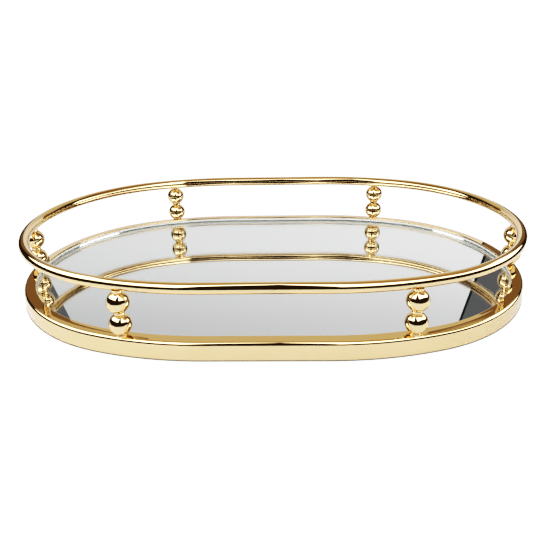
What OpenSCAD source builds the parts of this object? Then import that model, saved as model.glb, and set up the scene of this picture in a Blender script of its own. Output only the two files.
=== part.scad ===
// Oval mirrored vanity tray with a gallery rail carried on six posts of stacked balls.
// Units are millimetres, +Z is up, and the origin is on the resting plane under the middle
// of the tray. The long axis of the oval is X.
//
// Every oval in the tray is an offset of one line, the centreline of the gallery rail. That
// line has a straight run on each long side, a shoulder arc at each end of it and an end arc
// round each end of the tray, all tangent to one another.

/* [Oval] */
// Half length of the rail centreline
half_length = 180; // [176:1:200]
// Half width of the rail centreline
half_width = 115.6; // [114:0.2:116]
// Radius of the rail centreline round each end
end_radius = 110; // [109:0.5:111]

/* [Gallery rail] */
// Diameter of the rail rod
rail_d = 7.3; // [6:0.1:8]
// Height of the rail centreline above the resting plane
rail_z = 46.2; // [46:0.1:47]

/* [Posts] */
// Diameter of each ball
ball_d = 14.4; // [13.8:0.1:14.6]
// Height of the centre of each lower ball
lower_ball_z = 20; // [19.8:0.1:20.2]
// Height of the centre of each upper ball
upper_ball_z = 34.9; // [34.8:0.1:35.2]
// Distance from the middle of the tray to the posts on the long sides, along X
post_x = 90; // [60:1:100]
// Diameter of the collars above, between and below the balls
collar_d = 6.4; // [5.4:0.1:7]
// Diameter of the threaded stud inside each post
stud_d = 3; // [2.5:0.1:3.2]
// How far the middle of each post stands outside the rail centreline
post_outset = 0.9; // [0:0.1:0.9]

/* [Rim] */
// How far the outer face of the rim stands outside the rail centreline
rim_outset = 5.4; // [5.2:0.1:6]
// How far the inner edge of the ledge stands inside the rail centreline
rim_inset = 3.3; // [3.2:0.1:3.6]
// Height of the outer edge of the ledge, before its edge is rounded
rim_edge_z = 11.9; // [11.7:0.1:12.1]
// Slope of the ledge, rising towards the mirror, in degrees
ledge_slope = 6; // [4:0.5:7]
// Thickness of the rim metal
rim_wall = 1.2; // [1:0.1:1.4]

/* [Floor] */
// How far the edge of the mirror glass stands inside the rail centreline
glass_inset = 1.9; // [1.9:0.1:2.2]
// Thickness of the mirror glass
glass_t = 3; // [2.8:0.1:3.2]
// Height of the top face of the mirror glass
glass_top_z = 9.75; // [9.7:0.05:9.9]
// Thickness of the backing board
board_t = 4.8; // [4.6:0.1:4.8]
// Thickness of the felt underneath
felt_t = 1; // [0.8:0.1:1]

/* [Hidden] */
$fn = 96;
CORNERS = ["back_right", "back_left", "front_left", "front_right"];
POSTS = concat(CORNERS, ["left_end", "right_end"]);
LEVELS = ["lower", "upper"];

gold = "#e2c07a";
steel = "#b9bcc0";

// Oval: the end arc meets the shoulder arc where the outward normal has this direction,
// a unit vector from the 44:117:125 triangle. The shoulder radius and the straight run
// follow from the half length, the half width and the end radius.
joint = [0.352, 0.936];
end_x = half_length - end_radius;
shoulder_radius = (half_width - joint.y * end_radius) / (1 - joint.y);
straight_half = end_x - joint.x * (shoulder_radius - end_radius);
shoulder_y = half_width - shoulder_radius;
// A point well outside the oval on the line through both arc centres and their joint.
joint_far = [straight_half, shoulder_y] + 4 * [end_x - straight_half, -shoulder_y];
reach = 1000;

// Posts: four stand under the shoulder arcs of the rail and one at each end. Each has the
// direction of the oval's outward normal, in degrees.
shoulder_run = post_x - straight_half;
shoulder_rise = sqrt(shoulder_radius ^ 2 - shoulder_run ^ 2);
post_y = shoulder_y + shoulder_rise;
post_turn = atan2(shoulder_rise, shoulder_run);
RAIL_AT = [
    [post_x, post_y], [-post_x, post_y], [-post_x, -post_y], [post_x, -post_y],
    [-half_length, 0], [half_length, 0]
];
POST_TURN = [post_turn, 180 - post_turn, 180 + post_turn, -post_turn, 180, 0];
POST_AT = [
    for (p = [0 : len(POSTS) - 1]) RAIL_AT[p] + post_outset * [cos(POST_TURN[p]), sin(POST_TURN[p])]
];
BALL_Z = [lower_ball_z, upper_ball_z];

// Rim section: u runs outwards from the rail centreline and z runs up.
function ledge_z(u) = rim_edge_z + (rim_outset - u) * tan(ledge_slope);
function under_z(u) = ledge_z(u) - rim_wall / cos(ledge_slope);
edge_r = 2.4;
lip_r = 0.45;
rim_gap = 0.3;
seat_d = collar_d + 0.8;
seat_z = ledge_z(post_outset - seat_d / 2) + 0.1;
boss_d = 5.2;
stud_clearance = 0.4;

// Balls: each is turned flat where it meets a collar.
flat_r = 2.7;
flat_h = sqrt((ball_d / 2) ^ 2 - flat_r ^ 2);
saddle_wrap = 1;
saddle_clearance = 0.04;

// Floor, from the resting plane up.
silver_t = 0.2;
seal_gap = 0.03;
seal_w = 0.8;
board_gap = 0.1;
board_top_z = felt_t + board_t;
silver_z = glass_top_z - glass_t - silver_t;
tape_w = 12;
tape_l = 240;
tape_rows = 5;
tape_pitch = 36;

// Fasteners: a nut let into the board pulls each stud down.
washer_d = 6;
washer_t = 0.5;
nut_af = 5.5;
nut_h = 2.2;
pocket_d = 7.2;
pocket_z = felt_t + 3.2;
nut_z = pocket_z - washer_t - nut_h;
stud_bottom_z = nut_z - 0.2;
stud_top_z = rail_z - 1;

// Flat region that holds the right-hand end arc, on one side of both joint lines.
module end_region() {
    polygon([
        [end_x, 0], [joint_far.x, -joint_far.y], [reach, -reach], [reach, reach], joint_far
    ]);
}

// Flat region that holds the shoulder arc at the back right.
module shoulder_region() {
    polygon([[straight_half, shoulder_y], joint_far, [straight_half, reach]]);
}

// Children, drawn as a section in u and z, swept once round the oval.
module sweep_oval() {
    for (turn = [0, 180]) rotate(turn) {
        translate([-straight_half, half_width, 0]) rotate([90, 0, 90])
            linear_extrude(2 * straight_half) children();
        intersection() {
            translate([end_x, 0, 0]) rotate(180)
                rotate_extrude() translate([end_radius, 0]) children();
            linear_extrude(2 * rail_z) end_region();
        }
        for (side = [0, 1]) mirror([side, 0, 0]) intersection() {
            translate([straight_half, shoulder_y, 0]) rotate(180)
                rotate_extrude() translate([shoulder_radius, 0]) children();
            linear_extrude(2 * rail_z) shoulder_region();
        }
    }
}

// The flat oval that lies u outside the rail centreline.
module oval(u) {
    square([2 * straight_half, 2 * (half_width + u)], center = true);
    for (turn = [0, 180]) rotate(turn) {
        intersection() {
            translate([end_x, 0]) circle(end_radius + u);
            end_region();
        }
        for (side = [0, 1]) mirror([side, 0]) intersection() {
            translate([straight_half, shoulder_y]) circle(shoulder_radius + u);
            shoulder_region();
        }
    }
}

module oval_plate(u, z, t) {
    translate([0, 0, z]) linear_extrude(t) oval(u);
}

// Children placed at every post, with their X axis along the outward normal.
module at_posts() {
    for (p = [0 : len(POSTS) - 1]) translate(POST_AT[p]) rotate(POST_TURN[p]) children();
}

// A rod that stands at every post from z0 to z1.
module post_rods(d, z0, z1) {
    at_posts() translate([0, 0, z0]) cylinder(d = d, h = z1 - z0);
}

// Section of the rim: a vertical band with a rounded top edge, and a ledge that rises
// inwards and overhangs the edge of the mirror.
module rim_section() {
    s = sin(ledge_slope);
    c = cos(ledge_slope);
    edge = [rim_outset - edge_r, rim_edge_z - edge_r * (1 - s) / c];
    lip = [lip_r - rim_inset, ledge_z(-rim_inset) - lip_r * (1 + s) / c];
    band_in = rim_outset - rim_wall;
    under = rim_outset - edge_r - rim_wall;
    past = -rim_inset - 1;
    difference() {
        union() {
            polygon([
                [rim_outset, rim_gap], [rim_outset, edge.y], edge + edge_r * [s, c],
                lip + lip_r * [s, c], [-rim_inset, lip.y], [-rim_inset, rim_gap]
            ]);
            translate(edge) circle(edge_r);
            translate(lip) circle(lip_r);
        }
        polygon([
            [band_in, rim_gap - 1], [band_in, edge.y], [under, under_z(under)],
            [past, under_z(past)], [past, rim_gap - 1]
        ]);
    }
}

// Formed metal rim. Each post has a turned seat on the ledge and a boss under it that
// stands on the board.
module rim_frame() color(gold) {
    difference() {
        union() {
            sweep_oval() rim_section();
            post_rods(seat_d, ledge_z(0) - 0.75, seat_z);
            post_rods(boss_d, board_top_z, ledge_z(0) - 0.5);
        }
        post_rods(stud_d + stud_clearance, rim_gap, seat_z + 1);
    }
}

// Fibreboard floor, clamped by the studs, with a pocket underneath for each nut.
module backing_board() color("#8a6a48") {
    difference() {
        oval_plate(rim_outset - rim_wall - board_gap, felt_t, board_t);
        post_rods(stud_d + stud_clearance, felt_t - 1, board_top_z + 1);
        post_rods(pocket_d, felt_t - 1, pocket_z);
    }
}

module felt_base() color("#26262a") {
    oval_plate(rim_outset - rim_wall - board_gap, 0, felt_t);
}

// Strips of foam tape that hold the mirror down on the board.
module mirror_mounting_tape() color("#e8e6df") {
    for (row = [0 : tape_rows - 1])
        translate([-tape_l / 2, (row - (tape_rows - 1) / 2) * tape_pitch - tape_w / 2, board_top_z])
            cube([tape_l, tape_w, silver_z - board_top_z]);
}

// Silver and protective coat on the back of the glass.
module mirror_silvering() color("#d9dcdd") {
    oval_plate(-glass_inset, silver_z, silver_t);
}

module mirror_glass() color("#cfe0d6", 0.5) {
    oval_plate(-glass_inset, silver_z + silver_t, glass_t);
}

// Soft strip between the glass and the underside of the ledge, all the way round.
module mirror_seal() color("#e9ebe4") {
    out = -glass_inset;
    in = out - seal_w;
    sweep_oval() polygon([
        [in, glass_top_z], [out, glass_top_z], [out, under_z(out) - seal_gap],
        [in, under_z(in) - seal_gap]
    ]);
}

// Round rod closed into an oval, with a blind hole over each post for its stud.
module gallery_rail() color(gold) {
    difference() {
        sweep_oval() translate([0, rail_z]) circle(d = rail_d);
        post_rods(stud_d, rail_z - rail_d, stud_top_z);
    }
}

module post_studs() color(steel) {
    post_rods(stud_d, stud_bottom_z, stud_top_z);
}

module stud_washers() color(steel) {
    difference() {
        post_rods(washer_d, pocket_z - washer_t, pocket_z);
        post_rods(stud_d + stud_clearance, pocket_z - 1, pocket_z + 1);
    }
}

module stud_nuts() color(steel) {
    difference() {
        at_posts() translate([0, 0, nut_z]) cylinder(d = nut_af / cos(30), h = nut_h, $fn = 6);
        post_rods(stud_d, nut_z - 1, nut_z + nut_h + 1);
    }
}

// Collars, each a short ring round the stud.
module collar_rings(z0, z1) {
    difference() {
        post_rods(collar_d, z0, z1);
        post_rods(stud_d + stud_clearance, z0 - 1, z1 + 1);
    }
}

module base_collars() color(gold) {
    collar_rings(seat_z, lower_ball_z - flat_h);
}

module middle_collars() color(gold) {
    collar_rings(lower_ball_z + flat_h, upper_ball_z - flat_h);
}

// The top collars are hollowed on top to the round of the rail.
module rail_collars() color(gold) {
    difference() {
        collar_rings(upper_ball_z + flat_h, rail_z - rail_d / 2 + saddle_wrap);
        at_posts() translate([-post_outset, 0, rail_z]) rotate([90, 0, 0])
            cylinder(d = rail_d + saddle_clearance, h = 2 * collar_d, center = true);
    }
}

// One ball, bored for the stud and turned flat top and bottom.
module ball(post, level) color(gold) {
    translate([POST_AT[post].x, POST_AT[post].y, BALL_Z[level]]) difference() {
        sphere(d = ball_d);
        cylinder(d = stud_d + stud_clearance, h = 2 * ball_d, center = true);
        for (up = [0, 1]) mirror([0, 0, up]) translate([0, 0, flat_h]) cylinder(d = ball_d, h = ball_d);
    }
}

rim_frame();
backing_board();
felt_base();
mirror_mounting_tape();
mirror_silvering();
mirror_glass();
mirror_seal();
gallery_rail();
post_studs();
stud_washers();
stud_nuts();
base_collars();
middle_collars();
rail_collars();
for (p = [0 : len(POSTS) - 1], l = [0, 1])
    ball(p, l);
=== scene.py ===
"""Looks of the oval mirrored vanity tray: a gold rim and gallery rail on posts of stacked balls,
round a mirror glass floor. The tray's lengths are in millimetres, which MM turns into metres, and
the stage's are in metres."""
import math

import bpy
import numpy as np
from mathutils import Matrix, Vector


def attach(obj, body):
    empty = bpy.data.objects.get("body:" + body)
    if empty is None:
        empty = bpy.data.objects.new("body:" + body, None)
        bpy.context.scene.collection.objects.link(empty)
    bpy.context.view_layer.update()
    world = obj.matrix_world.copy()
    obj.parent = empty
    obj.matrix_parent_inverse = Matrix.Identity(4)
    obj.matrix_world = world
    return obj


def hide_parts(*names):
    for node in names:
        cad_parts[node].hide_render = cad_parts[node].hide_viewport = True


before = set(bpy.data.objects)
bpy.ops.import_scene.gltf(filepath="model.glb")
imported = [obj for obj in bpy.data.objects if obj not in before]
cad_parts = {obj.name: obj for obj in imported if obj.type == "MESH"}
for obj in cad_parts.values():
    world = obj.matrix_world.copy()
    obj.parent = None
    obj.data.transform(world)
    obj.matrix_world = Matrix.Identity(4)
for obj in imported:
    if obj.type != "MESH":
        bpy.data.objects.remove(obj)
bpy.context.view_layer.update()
MM = 0.001

# ---------------------------------------------------------------- shape of the tray, as in the CAD
HALF_LENGTH, HALF_WIDTH, END_RADIUS = 180.0, 115.6, 110.0
JOINT = (0.352, 0.936)
END_X = HALF_LENGTH - END_RADIUS
SHOULDER_RADIUS = (HALF_WIDTH - JOINT[1] * END_RADIUS) / (1 - JOINT[1])
STRAIGHT_HALF = END_X - JOINT[0] * (SHOULDER_RADIUS - END_RADIUS)
SHOULDER_Y = HALF_WIDTH - SHOULDER_RADIUS
RAIL_R, RAIL_Z = 3.65, 46.2
BALL_R, BALL_Z = 7.2, {"lower": 20.0, "upper": 34.9}
FLAT_R = 2.7
FLAT_H = math.sqrt(BALL_R**2 - FLAT_R**2)
BORE_R = 1.7
COLLAR_R = 3.2
POST_X = 90.0
POST_OUTSET = 0.9
RIM_OUTSET, RIM_INSET, RIM_EDGE_Z, LEDGE_SLOPE, RIM_WALL = 5.4, 3.3, 11.9, math.radians(6), 1.2
RIM_BOTTOM, EDGE_R, LIP_R = 0.3, 2.4, 0.58
GLASS_TOP, GLASS_T, GLASS_U = 9.75, 3.0, -1.9
SILVERING_DEPTH = 0.02  # the glass reaches this far into the silvering
SEAL_W, SEAL_GAP = 0.8, 0.03
FELT_T, BOARD_TOP, BOARD_GAP = 1.0, 5.8, 0.1
SEAT_R, SEAT_DEPTH = COLLAR_R + 0.4, 0.75
BOSS_R, BOSS_DEPTH = 2.6, 0.5
CROWN, CROWN_R = 0.14, 40.0  # the ledge is very slightly domed
BEVEL = 0.1


def ledge_z(u):
    return RIM_EDGE_Z + (RIM_OUTSET - u) * math.tan(LEDGE_SLOPE)


def under_z(u):
    return ledge_z(u) - RIM_WALL / math.cos(LEDGE_SLOPE)


SEAT_Z = ledge_z(POST_OUTSET - SEAT_R) + 0.1
rise = math.sqrt(SHOULDER_RADIUS**2 - (POST_X - STRAIGHT_HALF) ** 2)
POST_Y = SHOULDER_Y + rise
TURN = math.atan2(rise, POST_X - STRAIGHT_HALF)
PX, PY = POST_X + POST_OUTSET * math.cos(TURN), POST_Y + POST_OUTSET * math.sin(TURN)
POSTS = {
    "back_right": (PX, PY, TURN),
    "back_left": (-PX, PY, math.pi - TURN),
    "front_left": (-PX, -PY, math.pi + TURN),
    "front_right": (PX, -PY, -TURN),
    "left_end": (-HALF_LENGTH - POST_OUTSET, 0.0, math.pi),
    "right_end": (HALF_LENGTH + POST_OUTSET, 0.0, 0.0),
}


# ---------------------------------------------------------------- mesh code
def oval_stations(end_step=2.4, shoulder_step=2.0, straight_parts=8):
    """Stations (x, y, radius, angle) round the oval: a point u outside the rail centreline is
    at (x, y) + (radius + u) * (cos angle, sin angle)."""
    joint = math.atan2(JOINT[1], JOINT[0])
    quarter = []
    n = round(math.degrees(joint) / end_step)
    quarter += [(END_X, 0.0, END_RADIUS, joint * i / n) for i in range(n)]
    n = round((90 - math.degrees(joint)) / shoulder_step)
    quarter += [
        (STRAIGHT_HALF, SHOULDER_Y, SHOULDER_RADIUS, joint + (math.pi / 2 - joint) * i / n)
        for i in range(n)
    ]
    n = straight_parts
    quarter += [
        (STRAIGHT_HALF * (1 - i / n), SHOULDER_Y, SHOULDER_RADIUS, math.pi / 2) for i in range(n)
    ]
    top = (0.0, SHOULDER_Y, SHOULDER_RADIUS, math.pi / 2)
    left = [(-x, y, r, math.pi - a) for x, y, r, a in reversed(quarter)]
    half = quarter + [top] + left
    back = [(x, -y, r, -a) for x, y, r, a in reversed(half[1:-1])]
    return half + back


def circle_stations(x, y, n=56):
    return [(x, y, 0.0, 2 * math.pi * i / n) for i in range(n)]


def rounded(corners, steps=4):
    """A closed section from (u, z, fillet radius) corners, as (u, z, normal u, normal z) rows.
    The corners run anticlockwise in the u, z plane."""
    rows = []
    count = len(corners)
    for i, (u, z, r) in enumerate(corners):
        p = Vector((u, z))
        a = Vector(corners[i - 1][:2]) - p
        b = Vector(corners[(i + 1) % count][:2]) - p
        a.normalize()
        b.normalize()
        turn = a.angle(b)
        back = r / math.tan(turn / 2)
        convex = a.x * b.y - a.y * b.x < 0
        centre = p + (a + b).normalized() * (r / math.sin(turn / 2))
        start, end = p + a * back - centre, p + b * back - centre
        a0 = math.atan2(start.y, start.x)
        sweep = math.atan2(end.y, end.x) - a0
        sweep = (sweep + math.pi) % (2 * math.pi) - math.pi
        sign = 1 if convex else -1
        for k in range(steps + 1):
            t = a0 + sweep * k / steps
            n = Vector((math.cos(t), math.sin(t)))
            rows.append((*(centre + n * r), *(n * sign)))
    return rows


def circle_section(radius, z, n=32):
    turns = [2 * math.pi * i / n for i in range(n)]
    return [
        (radius * math.cos(t), z + radius * math.sin(t), math.cos(t), math.sin(t)) for t in turns
    ]


def make_mesh(name, points, faces, normals):
    mesh = bpy.data.meshes.new(name)
    mesh.from_pydata([Vector(p) * MM for p in points], [], faces)
    mesh.validate()
    mesh.polygons.foreach_set("use_smooth", [True] * len(mesh.polygons))
    mesh.normals_split_custom_set_from_vertices([Vector(n).normalized() for n in normals])
    mesh.update()
    return mesh


def carried(stations, section):
    """Points and normals of a section at every station."""
    points, normals = [], []
    for x, y, radius, angle in stations:
        c, s = math.cos(angle), math.sin(angle)
        for u, z, nu, nz in section:
            points.append((x + (radius + u) * c, y + (radius + u) * s, z))
            normals.append((nu * c, nu * s, nz))
    return points, normals


def swept(stations, section):
    """Points, faces and normals of a closed section carried round closed stations."""
    points, normals = carried(stations, section)
    k, n = len(section), len(stations)
    faces = []
    for i in range(n):
        a, b = i * k, (i + 1) % n * k
        for j in range(k):
            m = (j + 1) % k
            faces.append((a + j, b + j, b + m, a + m))
    return points, faces, normals


def join(parts):
    points, faces, normals = [], [], []
    for p, f, n in parts:
        base = len(points)
        points += p
        normals += n
        faces += [tuple(base + i for i in face) for face in f]
    return points, faces, normals


def plate(stations, u, z0, z1, r, steps=3):
    """A closed flat plate whose edge is rounded with radius r."""
    rim = []
    for z, side in ((z0, -1), (z1, 1)):
        for k in range(steps + 1):
            t = math.pi / 2 * (k / steps if side > 0 else 1 - k / steps)
            c, s = math.cos(t), math.sin(t)
            rim.append((u - r + r * c, z - side * r + side * r * s, c, side * s))
    points, normals = carried(stations, rim)
    k, n = len(rim), len(stations)
    faces = []
    for i in range(n):
        a, b = i * k, (i + 1) % n * k
        faces += [(a + j, b + j, b + j + 1, a + j + 1) for j in range(k - 1)]
    half = n // 2
    for level, flip in ((0, True), (k - 1, False)):
        for i in range(half):
            ring = [i, i + 1, (n - i - 1) % n, (n - i) % n]
            ring = list(dict.fromkeys(ring))
            ring = [j * k + level for j in ring]
            faces.append(tuple(reversed(ring)) if flip else tuple(ring))
    return points, faces, normals


def add_piece(name, parts, material, slot, *nodes):
    obj = bpy.data.objects.new(name, make_mesh(name, *parts))
    bpy.context.scene.collection.objects.link(obj)
    obj.data.materials.append(material)
    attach(obj, "root")
    if nodes:
        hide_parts(*nodes)
    return obj


# ---------------------------------------------------------------- materials
class Nodes:
    """A material's node tree, with short names for the nodes that are used here."""

    def __init__(self, name):
        self.material = bpy.data.materials.new(name)
        self.material.use_nodes = True
        self.tree = self.material.node_tree
        self.tree.nodes.clear()
        self.out = self.tree.nodes.new("ShaderNodeOutputMaterial")

    def add(self, kind, **sockets):
        """A node by its short kind. A socket is keyed by its name, with _ for a space, or by i and
        its number. A value is a number, a colour or another node's output."""
        node = self.tree.nodes.new("ShaderNode" + kind)
        for key, value in sockets.items():
            socket = node.inputs[int(key[1:])] if key[0] == "i" and key[1:].isdigit() else None
            socket = socket or node.inputs[key.replace("_", " ")]
            if isinstance(value, bpy.types.NodeSocket):
                self.tree.links.new(value, socket)
            else:
                socket.default_value = value
        return node

    def ramp(self, value, low, high, a, b):
        """value from low to high turned into a to b."""
        node = self.add("MapRange", i0=value, i1=low, i2=high, i3=a, i4=b)
        return node.outputs[0]

    def noise(self, scale, detail=2.0, rough=0.5, distortion=0.0):
        coords = self.add("TexCoord").outputs["Object"]
        node = self.add("TexNoise", Vector=coords, Scale=scale, Detail=detail, Roughness=rough)
        node.inputs["Distortion"].default_value = distortion
        return node.outputs[0]

    def mix(self, factor, a, b):
        node = self.tree.nodes.new("ShaderNodeMix")
        node.data_type = "RGBA"
        for socket, value in zip((node.inputs[0], node.inputs[6], node.inputs[7]), (factor, a, b)):
            if isinstance(value, bpy.types.NodeSocket):
                self.tree.links.new(value, socket)
            else:
                socket.default_value = value
        return node.outputs[2]

    def bump(self, height, strength, distance):
        node = self.add("Bump", Strength=strength, Distance=distance, Height=height)
        return node.outputs[0]

    def finish(self, shader):
        self.tree.links.new(shader.outputs[0], self.out.inputs[0])
        return self.material


def polished_gold():
    """Mirror-polished plating, with faint cloudiness and the slight waviness of hand buffing."""
    n = Nodes("Polished_Gold")
    cloud = n.noise(55, 3, 0.6)
    wave = n.noise(140, 1)
    colour = n.mix(n.ramp(cloud, 0.35, 0.7, 0, 1), (0.80, 0.59, 0.30, 1), (0.79, 0.575, 0.285, 1))
    rough = n.ramp(n.noise(180, 2), 0.3, 0.75, 0.016, 0.034)
    shader = n.add(
        "BsdfPrincipled", Base_Color=colour, Metallic=1.0, Roughness=rough,
        Normal=n.bump(wave, 0.012, 0.0004),
    )
    return n.finish(shader)


def float_glass():
    """Clear glass that is green in its depth."""
    n = Nodes("Float_Glass")
    rough = n.ramp(n.noise(60, 3, 0.6), 0.5, 0.8, 0.0, 0.0015)
    shader = n.add(
        "BsdfPrincipled", Base_Color=(1, 1, 1, 1), Roughness=rough, IOR=1.52,
        Transmission_Weight=1.0,
    )
    absorb = n.add("VolumeAbsorption", Color=(0.55, 0.86, 0.68, 1), Density=70.0)
    n.tree.links.new(absorb.outputs[0], n.out.inputs[1])
    return n.finish(shader)


def silvering():
    """Bright metal. Its tint makes up for the green of the glass, so that the mirror is neutral."""
    n = Nodes("Silvering")
    tone = n.mix(n.noise(20, 2), (0.985, 0.855, 0.925, 1), (0.99, 0.86, 0.93, 1))
    shader = n.add("BsdfPrincipled", Base_Color=tone, Metallic=1.0, Roughness=0.0)
    return n.finish(shader)


def pale_seal():
    """Soft white foam rubber, faintly mottled, with a faint painted glow that brightens its shaded
    recess.
    """
    n = Nodes("Pale_Seal_Painted_Glow")
    cell = n.noise(260, 2)
    colour = n.mix(n.ramp(cell, 0.3, 0.7, 0, 1), (0.88, 0.90, 0.86, 1), (0.93, 0.94, 0.90, 1))
    # The emission is painted light: a faint glow that lifts the seal where its recess under the rim
    # is shaded.
    shader = n.add(
        "BsdfPrincipled", Base_Color=colour, Roughness=n.ramp(cell, 0.3, 0.7, 0.4, 0.55),
        Normal=n.bump(cell, 0.08, 0.00005), Emission_Color=(0.95, 1.0, 0.92, 1),
        Emission_Strength=0.15,
    )
    return n.finish(shader)


def felt():
    """Black felt with lighter fibres."""
    n = Nodes("Felt")
    fibre = n.noise(1400, 6, 0.75, 1.5)
    blotch = n.noise(120, 3)
    colour = n.mix(n.ramp(fibre, 0.3, 0.7, 0, 1), (0.012, 0.011, 0.012, 1), (0.05, 0.048, 0.05, 1))
    colour = n.mix(n.ramp(blotch, 0.4, 0.7, 0, 0.4), colour, (0.03, 0.028, 0.03, 1))
    shader = n.add(
        "BsdfPrincipled", Base_Color=colour, Roughness=0.95, Sheen_Weight=0.4,
        Sheen_Roughness=0.6, Normal=n.bump(fibre, 0.6, 0.0006),
    )
    return n.finish(shader)


def fibreboard():
    n = Nodes("Fibreboard")
    speck = n.noise(900, 5, 0.8, 0.8)
    colour = n.mix(n.ramp(speck, 0.35, 0.65, 0, 1), (0.22, 0.12, 0.055, 1), (0.36, 0.22, 0.11, 1))
    shader = n.add(
        "BsdfPrincipled", Base_Color=colour, Roughness=0.85, Normal=n.bump(speck, 0.3, 0.0003)
    )
    return n.finish(shader)


def foam_tape():
    n = Nodes("Foam_Tape")
    cell = n.noise(1200, 4, 0.6)
    colour = n.mix(n.ramp(cell, 0.3, 0.7, 0, 1), (0.62, 0.60, 0.55, 1), (0.8, 0.79, 0.75, 1))
    shader = n.add(
        "BsdfPrincipled", Base_Color=colour, Roughness=0.8, Normal=n.bump(cell, 0.4, 0.0002)
    )
    return n.finish(shader)


def zinc_steel():
    n = Nodes("Zinc_Steel")
    grain = n.noise(600, 4, 0.7)
    colour = n.mix(n.ramp(grain, 0.3, 0.7, 0, 1), (0.52, 0.53, 0.55, 1), (0.64, 0.65, 0.66, 1))
    shader = n.add(
        "BsdfPrincipled", Base_Color=colour, Metallic=1.0,
        Roughness=n.ramp(grain, 0.3, 0.7, 0.25, 0.4), Normal=n.bump(grain, 0.15, 0.0001),
    )
    return n.finish(shader)


# ---------------------------------------------------------------- pieces
def rim_section():
    """The rim's section: band, rounded edge, and a ledge that overhangs the mirror's edge."""
    wall = RIM_OUTSET - RIM_WALL
    under = RIM_OUTSET - EDGE_R - RIM_WALL
    crown = (RIM_OUTSET - EDGE_R - RIM_INSET + LIP_R) / 2
    return rounded(
        [
            (RIM_OUTSET, RIM_BOTTOM, 0.2),
            (RIM_OUTSET, ledge_z(RIM_OUTSET), EDGE_R),
            (crown, ledge_z(crown) + CROWN, CROWN_R),
            (-RIM_INSET, ledge_z(-RIM_INSET), LIP_R),
            (-RIM_INSET, under_z(-RIM_INSET), LIP_R),
            (under, under_z(under), 0.6),
            (wall, ledge_z(wall) - RIM_WALL - EDGE_R, 0.6),
            (wall, RIM_BOTTOM, 0.2),
        ],
        steps=6,
    )


def build_rim(gold):
    """The rim, with a level seat on the ledge and a boss under it at every post."""
    parts = [swept(oval_stations(), rim_section())]
    seat = (SEAT_R, ledge_z(0) - SEAT_DEPTH, SEAT_Z)
    boss = (BOSS_R, BOARD_TOP, ledge_z(0) - BOSS_DEPTH)
    for r, z0, z1 in (seat, boss):
        ring = rounded([(r, z0, 0.05), (r, z1, 0.15), (BORE_R, z1, 0.05), (BORE_R, z0, 0.05)])
        parts += [swept(circle_stations(x, y, 48), ring) for x, y, _ in POSTS.values()]
    add_piece("Rim_Frame", join(parts), gold, "polished_gold", "rim_frame")


def build_rail(gold):
    parts = swept(oval_stations(), circle_section(RAIL_R, RAIL_Z))
    add_piece("Gallery_Rail", parts, gold, "polished_gold", "gallery_rail")


def ball_section(z):
    """Half section of a ball with a flat and a bevelled bore at each pole."""
    rows = []
    t_end = math.atan2(FLAT_H, FLAT_R)
    steps = 26
    for k in range(steps + 1):
        t = -t_end + 2 * t_end * k / steps
        rows.append((BALL_R * math.cos(t), z + BALL_R * math.sin(t), math.cos(t), math.sin(t)))
    top, bottom = z + FLAT_H, z - FLAT_H
    rows += [(FLAT_R - BEVEL, top, 0, 1), (BORE_R + BEVEL, top, 0, 1)]
    rows += [(BORE_R, top - BEVEL, -1, 0), (BORE_R, bottom + BEVEL, -1, 0)]
    rows += [(BORE_R + BEVEL, bottom, 0, -1), (FLAT_R - BEVEL, bottom, 0, -1)]
    return rows


def build_balls(gold):
    for post, (x, y, _) in POSTS.items():
        for level, z in BALL_Z.items():
            name = f"{post}_{level}_ball"
            parts = swept(circle_stations(x, y, 64), ball_section(z))
            add_piece("Ball_" + name, parts, gold, "polished_gold", name)


def build_collars(gold):
    levels = {
        "base_collars": (SEAT_Z, BALL_Z["lower"] - FLAT_H),
        "middle_collars": (BALL_Z["lower"] + FLAT_H, BALL_Z["upper"] - FLAT_H),
        "rail_collars": (BALL_Z["upper"] + FLAT_H, RAIL_Z - RAIL_R + 0.55),
    }
    for node, (z0, z1) in levels.items():
        r = min(0.28, (z1 - z0) / 3)
        section = rounded(
            [(COLLAR_R, z0, r), (COLLAR_R, z1, r), (BORE_R, z1, 0.08), (BORE_R, z0, 0.08)]
        )
        parts = [swept(circle_stations(x, y), section) for x, y, _ in POSTS.values()]
        add_piece(node.title(), join(parts), gold, "polished_gold", node)


def build_floor_of_tray(glass, seal, felt_material):
    z0 = GLASS_TOP - GLASS_T - SILVERING_DEPTH
    stations = oval_stations()
    add_piece(
        "Mirror_Glass_Plate", plate(stations, GLASS_U, z0, GLASS_TOP, 0.25), glass, "float_glass",
        "mirror_glass",
    )
    inner = GLASS_U - SEAL_W
    strip = rounded([
        (GLASS_U, GLASS_TOP, 0.05), (GLASS_U, under_z(GLASS_U) - SEAL_GAP, 0.05),
        (inner, under_z(inner) - SEAL_GAP, 0.15), (inner, GLASS_TOP, 0.15),
    ])
    add_piece("Mirror_Seal", swept(stations, strip), seal, "pale_seal", "mirror_seal")
    edge = RIM_OUTSET - RIM_WALL - BOARD_GAP
    sheet = plate(stations, edge, 0.0, FELT_T, 0.3)
    add_piece("Felt_Sheet", sheet, felt_material, "felt", "felt_base")


def dress_nodes(materials):
    """The CAD nodes that are seen as they are: own materials and flat shading."""
    for name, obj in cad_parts.items():
        if name in materials:
            obj.data.materials.clear()
            obj.data.materials.append(materials[name])
            for polygon in obj.data.polygons:
                polygon.use_smooth = False


# ---------------------------------------------------------------- stage
PAPER = 1.75  # the level of light that comes out as paper white
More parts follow.
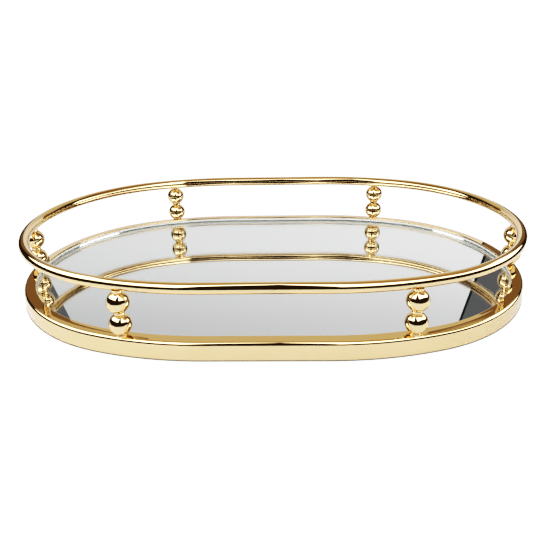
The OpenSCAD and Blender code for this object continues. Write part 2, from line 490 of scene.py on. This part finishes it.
# What the gold and the mirror show, as levels of red, green and blue light.
WINDOW = (5.0, 5.0, 5.1)
DARK = (0.018, 0.011, 0.008)
DARK_SIDE = (0.035, 0.018, 0.01)
BROWN = (0.23, 0.135, 0.055)
TAN = (0.69, 0.58, 0.42)
UMBER = (0.42, 0.28, 0.15)
SHELF_WALL = (0.64, 0.55, 0.38)
UPPER_WALL = (0.71, 0.63, 0.47)
GREY_ROOM = (0.13, 0.13, 0.13)
EDGE_LINE = (0.01, 0.01, 0.012)
SHEET_R, FLOOR_R, FLOOR_Z = 0.37, 3, -0.0003
TENT_R, ROOM_R, DOME_Z = 0.55, 4, 0.002
LEAN = (0.5, 0.866)  # back and up for each metre along the backdrop
BACKDROP_Y, WALL_Y, BACKDROP_Z = 0.9, 0.93, 0.26
BACKDROP_LEFT, BACKDROP_RIGHT, EDGE_W = -0.594, 0.471, 0.007


def add_stage(name, points, faces, material, camera=False):
    mesh = bpy.data.meshes.new(name)
    mesh.from_pydata(points, [], faces)
    mesh.materials.append(material)
    obj = bpy.data.objects.new(name, mesh)
    bpy.context.scene.collection.objects.link(obj)
    obj.visible_camera = camera
    return obj


def seen_white(name, colour):
    """A diffuse colour, that is plain white to the camera but for the shade close under the tray."""
    n = Nodes(name)
    camera = n.add("LightPath").outputs["Is Camera Ray"]
    near = n.add("AmbientOcclusion", Distance=0.002)
    shade = n.ramp(near.outputs["AO"], 0.5, 0.75, 0, 1)
    tone = n.mix(shade, (0.09, 0.075, 0.05, 1), (1, 1, 1, 1))
    seen = n.add("Emission", Color=tone, Strength=PAPER)
    real = n.add("BsdfDiffuse", Color=colour)
    return n.finish(n.add("MixShader", i0=camera, i1=real.outputs[0], i2=seen.outputs[0]))


def build_table():
    """A round white sheet on a dark floor. The sheet's white goes on below the backdrop."""
    count = 72
    turns = np.linspace(0, 2 * math.pi, count + 1)[:-1]
    radii = (SHEET_R, FLOOR_R)
    points = [(r * math.sin(t), -r * math.cos(t), FLOOR_Z) for r in radii for t in turns]
    ring = [(i, (i + 1) % count, (i + 1) % count + count, i + count) for i in range(count)]
    sheet = seen_white("Sheet_White", (0.79, 0.85, 0.92, 1))
    floor = seen_white("Floor_Black", (0.03, 0.02, 0.014, 1))
    table = add_stage("Table", points, [tuple(range(count))] + ring, sheet, True)
    table.data.materials.append(floor)
    for i, polygon in enumerate(table.data.polygons):
        behind = abs((i - 0.5) * 360 / count - 180) < 20
        polygon.material_index = int(i > 0 and not behind)


def smooth(a, b, x):
    t = min(max((x - a) / (b - a), 0.0), 1.0)
    return t * t * (3 - 2 * t)


def blend(a, b, t):
    return tuple(p + (q - p) * t for p, q in zip(a, b))


def tent_light(el, az):
    """Light seen from the tray at az degrees right of the camera side and el degrees up."""
    # Both edges of the windows sink towards the sides, and the windows end at limit.
    low_sink, high_sink, limit = (11, 28, 108) if az < 0 else (17, 41, 114)
    side = min(abs(az) / 90, 1.2)
    bottom = 31 - low_sink * smooth(0.5, 1.1, side)
    top = 84 - high_sink * min(side * 1.5, 1.2)
    window = smooth(bottom - 0.8, bottom + 0.8, el) * (1 - smooth(top - 1, top + 4, el))
    window *= 1 - smooth(limit - 1, limit + 1, abs(az))
    # The dark gap between the two windows narrows upwards and ends below their tops.
    height = min(max((el - 25) / 34, 0.0), 1.0)
    left, right = -21.5 + 6 * height, 12 - 5 * height
    if el > 59:
        close = min((el - 59) / 19, 1.0)
        left, right = left * (1 - close), right * (1 - close)
    gap = smooth(left - 1, left + 1, az) * (1 - smooth(right - 1, right + 1, az))
    window *= 1 - gap * (1 - smooth(76, 78, el))
    ceiling = blend(TAN, UMBER, smooth(20, 60, abs(az)))
    ceiling = blend(DARK, ceiling, smooth(top - 1, top + 6, el))
    return blend(ceiling, WINDOW, window)


def room_light(el, az):
    """The room behind the tray: dark at the sides, and brown under a paler wall at the back. The
    line between these two climbs towards the middle."""
    turn = abs(az if az < 180 else 360 - az)
    edge = 152 - 16 * smooth(6, 15, el)
    back = smooth(edge - 6, edge + 4, turn)
    shelf = min(max(44 - 1.15 * (159 - turn), 28), 48)
    wall = blend(BROWN, SHELF_WALL, smooth(shelf - 1, shelf + 1, el))
    return blend(DARK_SIDE, blend(wall, UMBER, smooth(50, 58, el)), back)


def dome(radius):
    """Places on a dome round the tray, by degrees up and degrees right of the camera side."""

    def place(el, az):
        a, e = math.radians(az), math.radians(el)
        flat = radius * math.cos(e)
        return (flat * math.sin(a), -flat * math.cos(a), DOME_Z + radius * math.sin(e))

    return place


def leaning(y):
    """Places on a leaning plane behind the tray, by the distance up it and x."""
    return lambda s, x: (x, y + LEAN[0] * s, BACKDROP_Z + LEAN[1] * s)


def backdrop_light(s, x):
    """Paper white, darker upwards, with a pinkish foot and the wall's colour over it."""
    z = BACKDROP_Z + LEAN[1] * s
    level = (1.12 - 0.38 * smooth(0.31, 0.72, z)) * (1 + 0.22 * x)
    low = blend((0.74, 0.69, 0.76), (level, level, level), smooth(0.2, 0.28, z))
    return blend(low, UPPER_WALL, smooth(0.74, 0.85, z))


def emissive_grid(name, rows, cols, place, light):
    """A camera-invisible card of rows x cols, whose colour comes from light(row, col)."""
    values = [(*light(r, c), 1.0) for r in rows for c in cols]
    k = len(cols)
    faces = [
        (i * k + j, i * k + j + 1, (i + 1) * k + j + 1, (i + 1) * k + j)
        for i in range(len(rows) - 1)
        for j in range(k - 1)
    ]
    n = Nodes(name + "_Light")
    level = n.add("Attribute")
    level.attribute_name = "light"
    glow = n.add("Emission", Color=level.outputs["Color"], Strength=1.0)
    card = add_stage(name, [place(r, c) for r in rows for c in cols], faces, n.finish(glow))
    colours = card.data.attributes.new("light", "FLOAT_COLOR", "POINT")
    colours.data.foreach_set("color", np.array(values).ravel())


def build_world():
    """White to the camera, brown to everything else."""
    world = bpy.data.worlds.new("Studio")
    world.use_nodes = True
    bpy.context.scene.world = world
    tree = world.node_tree
    back = tree.nodes["Background"]
    back.inputs[0].default_value = (*BROWN, 1)
    white = tree.nodes.new("ShaderNodeBackground")
    white.inputs[0].default_value = (1, 1, 1, 1)
    white.inputs[1].default_value = PAPER
    path = tree.nodes.new("ShaderNodeLightPath")
    mix = tree.nodes.new("ShaderNodeMixShader")
    tree.links.new(path.outputs["Is Camera Ray"], mix.inputs[0])
    tree.links.new(back.outputs[0], mix.inputs[1])
    tree.links.new(white.outputs[0], mix.inputs[2])
    tree.links.new(mix.outputs[0], tree.nodes["World Output"].inputs[0])


def build_light():
    heights, sides = [0.5 * i for i in range(181)], [0.5 * i for i in range(-236, 241)]
    emissive_grid("Light_Tent", heights, sides, dome(TENT_R), tent_light)
    emissive_grid("Room", range(0, 91), range(100, 261), dome(ROOM_R), room_light)
    # A leaning white backdrop with a black line along its right edge, and the grey room and the
    # upper wall close behind it.
    front, behind = leaning(BACKDROP_Y), leaning(WALL_Y)
    steps = [-0.27] + [0.06 * i for i in range(60)]
    columns = [BACKDROP_LEFT, -0.05, BACKDROP_RIGHT]
    emissive_grid("Backdrop", steps, columns, front, backdrop_light)
    emissive_grid("Room_Grey", [0.05, 0.58], [-0.7, 0.6], behind, lambda s, x: GREY_ROOM)
    edge = [BACKDROP_RIGHT, BACKDROP_RIGHT + EDGE_W]
    emissive_grid("Room_Edge", [-0.1, 0.62], edge, front, lambda s, x: EDGE_LINE)
    emissive_grid("Upper_Wall", [0.7, 3.5], [-0.76, 0.75], behind, lambda s, x: UPPER_WALL)


def build_camera():
    """The camera that was solved on the outlines. Its axes are turned by yaw, pitch and roll."""
    place = Vector((14.615, -460.726, 206.622)) * MM
    pitch, yaw, roll = 0.4072, -0.0351, -0.0213
    forward = Vector((
        math.sin(yaw) * math.cos(pitch), math.cos(yaw) * math.cos(pitch), -math.sin(pitch)
    ))
    right = Vector((math.cos(yaw), -math.sin(yaw), 0))
    up = right.cross(forward)
    right, up = (
        math.cos(roll) * right + math.sin(roll) * up, math.cos(roll) * up - math.sin(roll) * right
    )
    data = bpy.data.cameras.new("Camera")
    data.lens = 43.333
    data.sensor_width = 36
    data.clip_start = 0.01
    camera = bpy.data.objects.new("Camera", data)
    bpy.context.scene.collection.objects.link(camera)
    axes = Matrix([[right[i], up[i], -forward[i]] for i in range(3)])
    camera.matrix_world = Matrix.Translation(place) @ axes.to_4x4()
    bpy.context.scene.camera = camera


def set_tone():
    """A camera's tone curve: straight in the shadows, rolling off to paper white."""
    view = bpy.context.scene.view_settings
    view.view_transform = "Standard"
    view.use_curve_mapping = True
    mapping = view.curve_mapping
    mapping.white_level = (PAPER, PAPER, PAPER)
    mapping.extend = "HORIZONTAL"
    curve = mapping.curves[3]
    steps = [(0.06, 0.05), (0.15, 0.15), (0.36, 0.39), (0.72, 0.685), (1.0, 0.83), (1.35, 0.95)]
    curve.points[0].location = (0, 0)
    curve.points[1].location = (1, 1)
    for x, y in steps:
        curve.points.new(x / PAPER, y)
    mapping.update()


build_camera()
build_world()
build_light()
build_table()
gold_metal = polished_gold()
build_rim(gold_metal)
build_rail(gold_metal)
build_balls(gold_metal)
build_collars(gold_metal)
build_floor_of_tray(float_glass(), pale_seal(), felt())
steel = zinc_steel()
dress_nodes({
    "backing_board": fibreboard(),
    "mirror_mounting_tape": foam_tape(),
    "mirror_silvering": silvering(),
    "post_studs": steel,
    "stud_washers": steel,
    "stud_nuts": steel,
})
set_tone()
